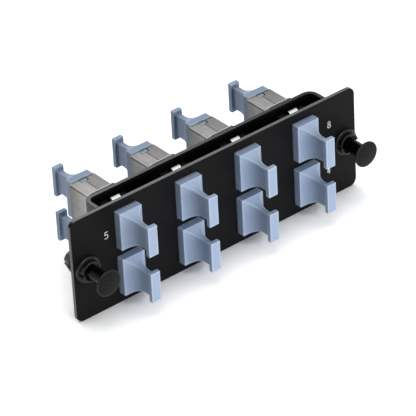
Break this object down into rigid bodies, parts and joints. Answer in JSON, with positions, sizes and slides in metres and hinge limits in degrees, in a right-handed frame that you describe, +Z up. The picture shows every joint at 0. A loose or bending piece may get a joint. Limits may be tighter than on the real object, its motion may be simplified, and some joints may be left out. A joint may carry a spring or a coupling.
{
  "type": "fibre adapter panel",
  "caption": "Flat panel with rows of fibre-optic adapters held between the plate and a rear bracket, capped front and back, with a push-pull plunger at each end.",
  "frame": {"origin": "centre of the front plate's rear face, midway between the two plungers", "axes": "+X along the panel to its right end seen from the front, +Y to the rear, +Z up; the front faces -Y"},
  "size_m": [0.13, 0.0547, 0.042],
  "materials": {
    "plate_paint": "satin black powder coat",
    "bracket_paint": "satin black powder coat",
    "body_plastic": "matt moulded",
    "sleeve_metal": "dull plated sheet",
    "clip_metal": "bright spring steel",
    "cap_plastic": "satin moulded",
    "grommet_plastic": "moulded nylon",
    "pin_plastic": "moulded nylon"
  },
  "bodies": {
    "panel": {"front_plate": "plate_paint", "rear_bracket": "bracket_paint", "adapter_body_1": "body_plastic", "shield_sleeve_1": "sleeve_metal", "retaining_clip_1": "clip_metal", "adapter_body_2": "body_plastic", "shield_sleeve_2": "sleeve_metal", "retaining_clip_2": "clip_metal", "adapter_body_3": "body_plastic", "shield_sleeve_3": "sleeve_metal", "retaining_clip_3": "clip_metal", "adapter_body_4": "body_plastic", "shield_sleeve_4": "sleeve_metal", "retaining_clip_4": "clip_metal", "adapter_body_5": "body_plastic", "shield_sleeve_5": "sleeve_metal", "retaining_clip_5": "clip_metal", "adapter_body_6": "body_plastic", "shield_sleeve_6": "sleeve_metal", "retaining_clip_6": "clip_metal", "adapter_body_7": "body_plastic", "shield_sleeve_7": "sleeve_metal", "retaining_clip_7": "clip_metal", "adapter_body_8": "body_plastic", "shield_sleeve_8": "sleeve_metal", "retaining_clip_8": "clip_metal", "grommet_left": "grommet_plastic", "grommet_right": "grommet_plastic"},
    "front_cap_1": {"front_cap_1": "cap_plastic"},
    "rear_cap_1": {"rear_cap_1": "cap_plastic"},
    "front_cap_2": {"front_cap_2": "cap_plastic"},
    "rear_cap_2": {"rear_cap_2": "cap_plastic"},
    "front_cap_3": {"front_cap_3": "cap_plastic"},
    "rear_cap_3": {"rear_cap_3": "cap_plastic"},
    "front_cap_4": {"front_cap_4": "cap_plastic"},
    "rear_cap_4": {"rear_cap_4": "cap_plastic"},
    "front_cap_5": {"front_cap_5": "cap_plastic"},
    "rear_cap_5": {"rear_cap_5": "cap_plastic"},
    "front_cap_6": {"front_cap_6": "cap_plastic"},
    "rear_cap_6": {"rear_cap_6": "cap_plastic"},
    "front_cap_7": {"front_cap_7": "cap_plastic"},
    "rear_cap_7": {"rear_cap_7": "cap_plastic"},
    "front_cap_8": {"front_cap_8": "cap_plastic"},
    "rear_cap_8": {"rear_cap_8": "cap_plastic"},
    "plunger_pin_left": {"plunger_pin_left": "pin_plastic"},
    "plunger_pin_right": {"plunger_pin_right": "pin_plastic"}
  },
  "joints": [
    {"name": "front_cap_1_pull", "type": "slide", "parent": "panel", "child": "front_cap_1", "axis": [0, -1, 0], "range_m": [0, 0.012]},
    {"name": "rear_cap_1_pull", "type": "slide", "parent": "panel", "child": "rear_cap_1", "axis": [0, 1, 0], "range_m": [0, 0.012]},
    {"name": "front_cap_2_pull", "type": "slide", "parent": "panel", "child": "front_cap_2", "axis": [0, -1, 0], "range_m": [0, 0.012]},
    {"name": "rear_cap_2_pull", "type": "slide", "parent": "panel", "child": "rear_cap_2", "axis": [0, 1, 0], "range_m": [0, 0.012]},
    {"name": "front_cap_3_pull", "type": "slide", "parent": "panel", "child": "front_cap_3", "axis": [0, -1, 0], "range_m": [0, 0.012]},
    {"name": "rear_cap_3_pull", "type": "slide", "parent": "panel", "child": "rear_cap_3", "axis": [0, 1, 0], "range_m": [0, 0.012]},
    {"name": "front_cap_4_pull", "type": "slide", "parent": "panel", "child": "front_cap_4", "axis": [0, -1, 0], "range_m": [0, 0.012]},
    {"name": "rear_cap_4_pull", "type": "slide", "parent": "panel", "child": "rear_cap_4", "axis": [0, 1, 0], "range_m": [0, 0.012]},
    {"name": "front_cap_5_pull", "type": "slide", "parent": "panel", "child": "front_cap_5", "axis": [0, -1, 0], "range_m": [0, 0.012]},
    {"name": "rear_cap_5_pull", "type": "slide", "parent": "panel", "child": "rear_cap_5", "axis": [0, 1, 0], "range_m": [0, 0.012]},
    {"name": "front_cap_6_pull", "type": "slide", "parent": "panel", "child": "front_cap_6", "axis": [0, -1, 0], "range_m": [0, 0.012]},
    {"name": "rear_cap_6_pull", "type": "slide", "parent": "panel", "child": "rear_cap_6", "axis": [0, 1, 0], "range_m": [0, 0.012]},
    {"name": "front_cap_7_pull", "type": "slide", "parent": "panel", "child": "front_cap_7", "axis": [0, -1, 0], "range_m": [0, 0.012]},
    {"name": "rear_cap_7_pull", "type": "slide", "parent": "panel", "child": "rear_cap_7", "axis": [0, 1, 0], "range_m": [0, 0.012]},
    {"name": "front_cap_8_pull", "type": "slide", "parent": "panel", "child": "front_cap_8", "axis": [0, -1, 0], "range_m": [0, 0.012]},
    {"name": "rear_cap_8_pull", "type": "slide", "parent": "panel", "child": "rear_cap_8", "axis": [0, 1, 0], "range_m": [0, 0.012]},
    {"name": "plunger_pin_left_push", "type": "slide", "parent": "panel", "child": "plunger_pin_left", "axis": [0, 1, 0], "range_m": [0, 0.005]},
    {"name": "plunger_pin_right_push", "type": "slide", "parent": "panel", "child": "plunger_pin_right", "axis": [0, 1, 0], "range_m": [0, 0.005]}
  ]
}
